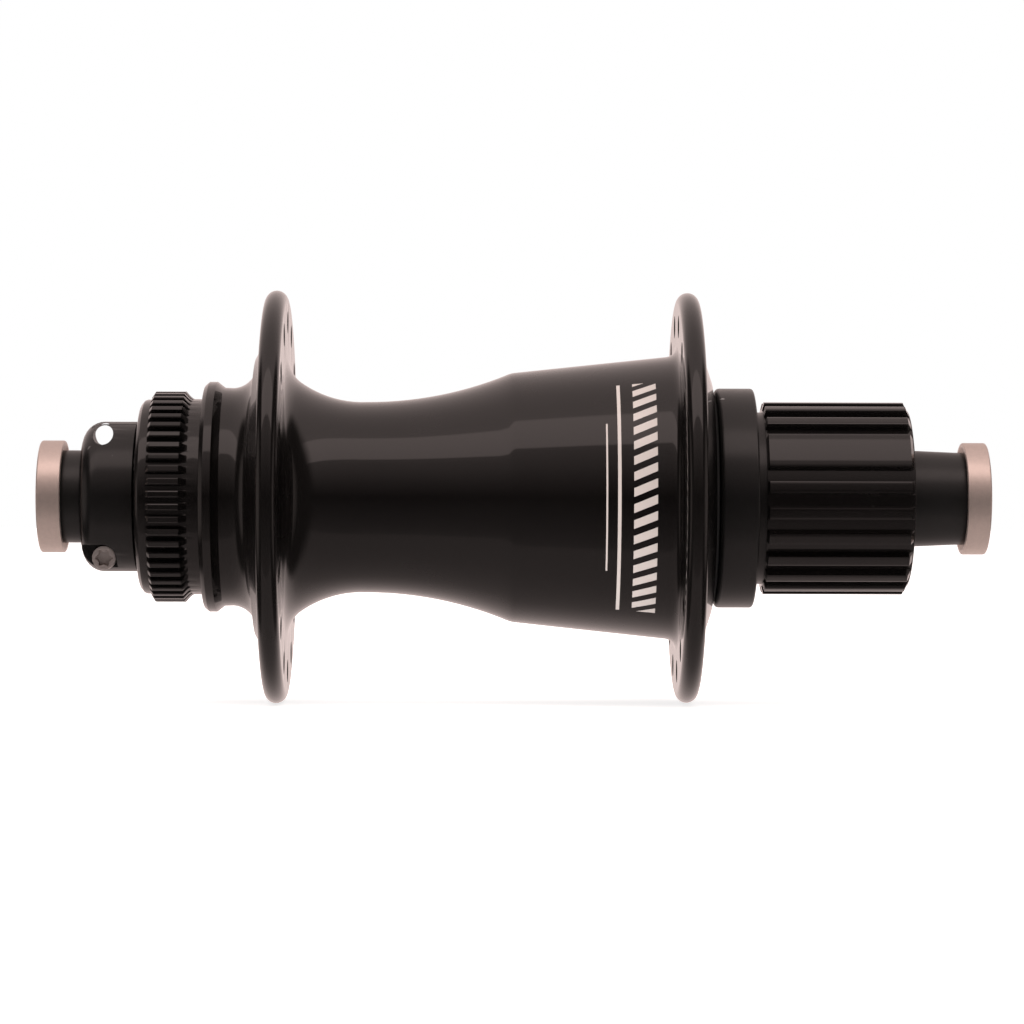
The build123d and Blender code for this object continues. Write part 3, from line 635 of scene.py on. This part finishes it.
# ---------------------------------------------------------------------------------------------------------
# End caps. Bead-blasted aluminium rings with a warm clear anodising, pushed over the axle's ends.
# Turned with broken edges and the shallow cone inside the inner face.
cap_alloy = bare_metal("blasted_warm_alloy", (0.72, 0.6, 0.545), 0.36, 1500, 0.3, 0.86)
cap_r = 9.3
cap_length = 3.95
cap_seat_r = 7.73
cap_lip = 1.0
cap_outline = eased([
    (0, thru_axle_r, 0.15), (0, cap_r, 0.35), (cap_length, cap_r, 0.3), (cap_length, 8.6, 0.1),
    (3.05, cap_seat_r, 0.05), (cap_lip, cap_seat_r, 0), (cap_lip, thru_axle_r, 0)
])
for side, face, inward in (("left", cad_box[1][1] / mm, -1), ("right", cad_box[0][1] / mm, 1)):
    cap = turned_piece(
        f"end_cap_{side}_finish", [(face + inward * along, radius) for along, radius in cap_outline], 160
    )
    finish_mesh(cap)
    cap.data.materials.append(cap_alloy)
    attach(cap, "axle_body")
    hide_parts(f"end_cap_{side}")

# ---------------------------------------------------------------------------------------------------------
# Driver. The cassette carrier: a black shoulder collar, a narrow neck and 23 splines with one wide one.
# Turned at the root of the splines, then each spline's face is lifted out of the barrel.
driver_low, driver_high = (corner[1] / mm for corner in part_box("driver"))
spline_in = driver_low + 24.2
shoulder = spline_in + 1.45
driver_root_r = 14.75
driver_tip_r = 16.0
driver_mouth_r = 13.6
driver_neck_r = 14.3
driver_collar_r = 18.25
collar_end = shoulder + 6.3
boss_end = shoulder + 8.6
land_end = shoulder + 15.6
driver_bore_r = 10.2
driver_outline = eased([
    (driver_low, driver_mouth_r, 0.15), (driver_low, driver_root_r, 0.15),
    (driver_low + 0.75, driver_root_r, 0), (driver_low + 1.0, driver_root_r, 0),
    (spline_in - 0.35, driver_root_r, 0), (spline_in - 0.05, driver_root_r, 0), (spline_in, driver_neck_r, 0),
    (shoulder, driver_neck_r, 0.15),
    (shoulder, driver_collar_r, 0.45), (collar_end, driver_collar_r, 0.7), (collar_end, 13.6, 0),
    (boss_end, 13.6, 0), (boss_end, 12.5, 0), (land_end, 12.5, 0), (land_end, 11.6, 0),
    (driver_high, 11.6, 0.1), (driver_high, 10.76, 0), (driver_high - 10, 10.76, 0),
    (driver_high - 10, driver_bore_r, 0), (driver_low + 11.3, driver_bore_r, 0), (driver_low + 11.3, 13.0, 0),
    (driver_low + 6.3, 13.0, 0), (driver_low + 6.3, driver_mouth_r, 0)
])
key_steps = 16
spline_positions = 23
driver_steps = spline_positions * key_steps
driver = turned_piece("driver_finish", driver_outline, driver_steps)
wide_centre = 30.2
half_key = 4


def on_key(point, inset):
    """True where a point lies on a spline's face, set in from its sides by so many steps."""
    turn = degrees(atan2(point.z, -point.x)) - wide_centre
    step = (turn / 360 * driver_steps) % driver_steps
    step = min(step, driver_steps - step)
    if step <= key_steps / 2 + half_key - inset:
        return True
    off_centre = (step - key_steps / 2) % key_steps
    return min(off_centre, key_steps - off_centre) <= half_key - inset


driver_edge_r = driver_tip_r - 0.1
for inset, before, after in ((0, driver_root_r, driver_edge_r), (1, driver_edge_r, driver_tip_r)):
    scale_points(driver, lambda p: (
        driver_low + 0.6 < p.y / mm < spline_in - 0.2
        and p.x ** 2 + p.z ** 2 > (14 * mm) ** 2 and on_key(p, inset)
    ), after / before)
finish_mesh(driver)
driver_black = satin_black("satin_black_driver", 0.005, 0.24, 0.15)
spline_black = gloss_black("wet_black_splines", 0.003, 0.05)
driver.data.materials.append(driver_black)
driver.data.materials.append(spline_black)
for face in driver.data.polygons:
    if face.center.y / mm < spline_in:
        face.material_index = 1
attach(driver, "driver_body")
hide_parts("driver")

# ---------------------------------------------------------------------------------------------------------
# Bearings, seals, ratchet rings and clips. Standard bought-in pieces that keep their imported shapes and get
# the finish of their own material slot.
inner_finishes = {
    "bearing_steel": bare_metal("ground_bearing_steel", (0.55, 0.55, 0.56), 0.2, 1200, 0.15),
    "hard_steel": bare_metal("hardened_steel", (0.30, 0.30, 0.31), 0.38, 900, 0.3),
}


def dull_solid(name, colour, roughness, grain_scale):
    """Moulded rubber or plastic: matte, with a fine moulded grain."""
    material = bpy.data.materials.new(name)
    material.use_nodes = True
    nodes, links = material.node_tree.nodes, material.node_tree.links
    shader = nodes["Principled BSDF"]
    shader.inputs["Roughness"].default_value = roughness
    place = nodes.new("ShaderNodeTexCoord")
    grain = nodes.new("ShaderNodeTexNoise")
    grain.inputs["Scale"].default_value = grain_scale
    grain.inputs["Detail"].default_value = 6
    links.new(place.outputs["Object"], grain.inputs["Vector"])
    shade = nodes.new("ShaderNodeMix")
    shade.data_type = "RGBA"
    shade.inputs["A"].default_value = (*[c * 0.8 for c in colour], 1)
    shade.inputs["B"].default_value = (*[c * 1.2 for c in colour], 1)
    links.new(grain.outputs["Fac"], shade.inputs["Factor"])
    links.new(shade.outputs["Result"], shader.inputs["Base Color"])
    bump = nodes.new("ShaderNodeBump")
    bump.inputs["Strength"].default_value = 0.4
    bump.inputs["Distance"].default_value = 0.02 * mm
    links.new(grain.outputs["Fac"], bump.inputs["Height"])
    links.new(bump.outputs["Normal"], shader.inputs["Normal"])
    return material


inner_finishes["seal_rubber"] = dull_solid("black_seal_rubber", (0.018, 0.018, 0.018), 0.6, 1600)
inner_finishes["cage_plastic"] = dull_solid("cage_nylon", (0.5, 0.46, 0.38), 0.5, 1000)
for entry in frame["record"]["subparts"]:
    finish = inner_finishes.get(entry["material_slot"])
    if finish is None:
        continue
    node = frame["nodes"][entry["node"]]
    for index in range(len(node.data.materials)):
        node.data.materials[index] = finish

# ---------------------------------------------------------------------------------------------------------
# Studio. A pale floor under the flanges and one big soft light overhead. The room that the polished black
# mirrors is drawn as bands round the axle: dark behind the camera, a long bright box above, grey below.
floor_height = cad_box[0][2]
bpy.ops.object.select_all(action="DESELECT")
bpy.ops.mesh.primitive_circle_add(vertices=64, radius=6, fill_type="NGON", location=(0, 0, floor_height))
floor = bpy.context.object
floor.name = "studio_floor"
floor_paint = bpy.data.materials.new("pale_floor")
floor_paint.use_nodes = True
floor_shader = floor_paint.node_tree.nodes["Principled BSDF"]
floor_shader.inputs["Base Color"].default_value = (0.9, 0.9, 0.9, 1)
floor_shader.inputs["Roughness"].default_value = 1.0
floor_shader.inputs["Specular IOR Level"].default_value = 0
floor_shader.inputs["Emission Color"].default_value = (1, 1, 1, 1)
floor_shader.inputs["Emission Strength"].default_value = 0.78
floor.data.materials.append(floor_paint)
floor.visible_glossy = False

lamp = bpy.data.lights.new("overhead_box", "AREA")
lamp.shape = "SQUARE"
lamp.size = 1.2
lamp.energy = 9
lamp.color = (1.0, 0.95, 0.92)
overhead = bpy.data.objects.new("overhead_box", lamp)
overhead.location = (-0.1, 0, 0.9)
overhead.visible_glossy = False
bpy.context.collection.objects.link(overhead)

world = bpy.data.worlds.new("studio_room")
bpy.context.scene.world = world
world.use_nodes = True
nodes, links = world.node_tree.nodes, world.node_tree.links
direction = nodes.new("ShaderNodeTexCoord")
split = nodes.new("ShaderNodeSeparateXYZ")
links.new(direction.outputs["Generated"], split.inputs["Vector"])
toward_camera = nodes.new("ShaderNodeMath")
toward_camera.operation = "MULTIPLY"
toward_camera.inputs[1].default_value = -1
links.new(split.outputs["X"], toward_camera.inputs[0])
around_axle = nodes.new("ShaderNodeMath")
around_axle.operation = "ARCTAN2"
links.new(split.outputs["Z"], around_axle.inputs[0])
links.new(toward_camera.outputs["Value"], around_axle.inputs[1])
turn = nodes.new("ShaderNodeMapRange")
turn.inputs["From Min"].default_value = -pi
turn.inputs["From Max"].default_value = pi
links.new(around_axle.outputs["Value"], turn.inputs["Value"])
bands = nodes.new("ShaderNodeValToRGB")
links.new(turn.outputs["Result"], bands.inputs["Fac"])
room = [
    (-180, 0.85), (-160, 0.7), (-140, 0.6), (-112, 0.38), (-80, 0.34), (-46, 0.32), (-44, 0.2), (-24, 0.11),
    (0, 0.025), (16, 0.16), (30, 0.32), (45.5, 0.45), (46.5, 1.3), (74, 1.4), (76, 0.8), (108, 0.65),
    (140, 0.6), (160, 0.7), (180, 0.85)
]
for i, (degrees_up, brightness) in enumerate(room):
    place = (degrees_up + 180) / 360
    if i == 0:
        stop = bands.color_ramp.elements[0]
        stop.position = 0
    elif i == len(room) - 1:
        stop = bands.color_ramp.elements[-1]
        stop.position = 1
    else:
        stop = bands.color_ramp.elements.new(place)
    stop.color = (brightness, brightness * 0.82, brightness * 0.78, 1)
toward_ends = nodes.new("ShaderNodeMath")
toward_ends.operation = "ABSOLUTE"
links.new(split.outputs["Y"], toward_ends.inputs[0])
dark_ends = nodes.new("ShaderNodeMapRange")
dark_ends.interpolation_type = "SMOOTHSTEP"
dark_ends.inputs["From Min"].default_value = 0.68
dark_ends.inputs["From Max"].default_value = 0.8
links.new(toward_ends.outputs["Value"], dark_ends.inputs["Value"])
walls = nodes.new("ShaderNodeMix")
walls.data_type = "RGBA"
walls.inputs["B"].default_value = (0.04, 0.033, 0.031, 1)
links.new(dark_ends.outputs["Result"], walls.inputs["Factor"])
links.new(bands.outputs["Color"], walls.inputs["A"])
far_ends = nodes.new("ShaderNodeMapRange")
far_ends.interpolation_type = "SMOOTHSTEP"
far_ends.inputs["From Min"].default_value = 0.9
far_ends.inputs["From Max"].default_value = 0.97
links.new(toward_ends.outputs["Value"], far_ends.inputs["Value"])
end_boxes = nodes.new("ShaderNodeMix")
end_boxes.data_type = "RGBA"
end_boxes.inputs["B"].default_value = (0.36, 0.3, 0.28, 1)
links.new(far_ends.outputs["Result"], end_boxes.inputs["Factor"])
links.new(walls.outputs["Result"], end_boxes.inputs["A"])
seen = nodes.new("ShaderNodeLightPath")
backdrop = nodes.new("ShaderNodeMix")
backdrop.data_type = "RGBA"
backdrop.inputs["B"].default_value = (1, 1, 1, 1)
links.new(seen.outputs["Is Camera Ray"], backdrop.inputs["Factor"])
links.new(end_boxes.outputs["Result"], backdrop.inputs["A"])
links.new(backdrop.outputs["Result"], nodes["Background"].inputs["Color"])

# ---------------------------------------------------------------------------------------------------------
# Camera. Level with the axle and square to it, from the side of the bicycle's rear, with a long lens.
lens_distance = 592
camera_data = bpy.data.cameras.new("camera")
camera_data.lens = 124.95
camera_data.sensor_width = 36
camera_data.clip_start = 0.01
camera = bpy.data.objects.new("camera", camera_data)
camera.location = (-lens_distance * mm, 6.3 * mm, -2.4 * mm)
aim = Vector((0, 0.31 * mm, -2.4 * mm)) - camera.location
camera.rotation_euler = aim.to_track_quat("-Z", "Y").to_euler()
camera.rotation_euler.rotate_axis("Z", radians(0.15))
bpy.context.collection.objects.link(camera)
bpy.context.scene.camera = camera
bpy.context.scene.view_settings.view_transform = "Standard"
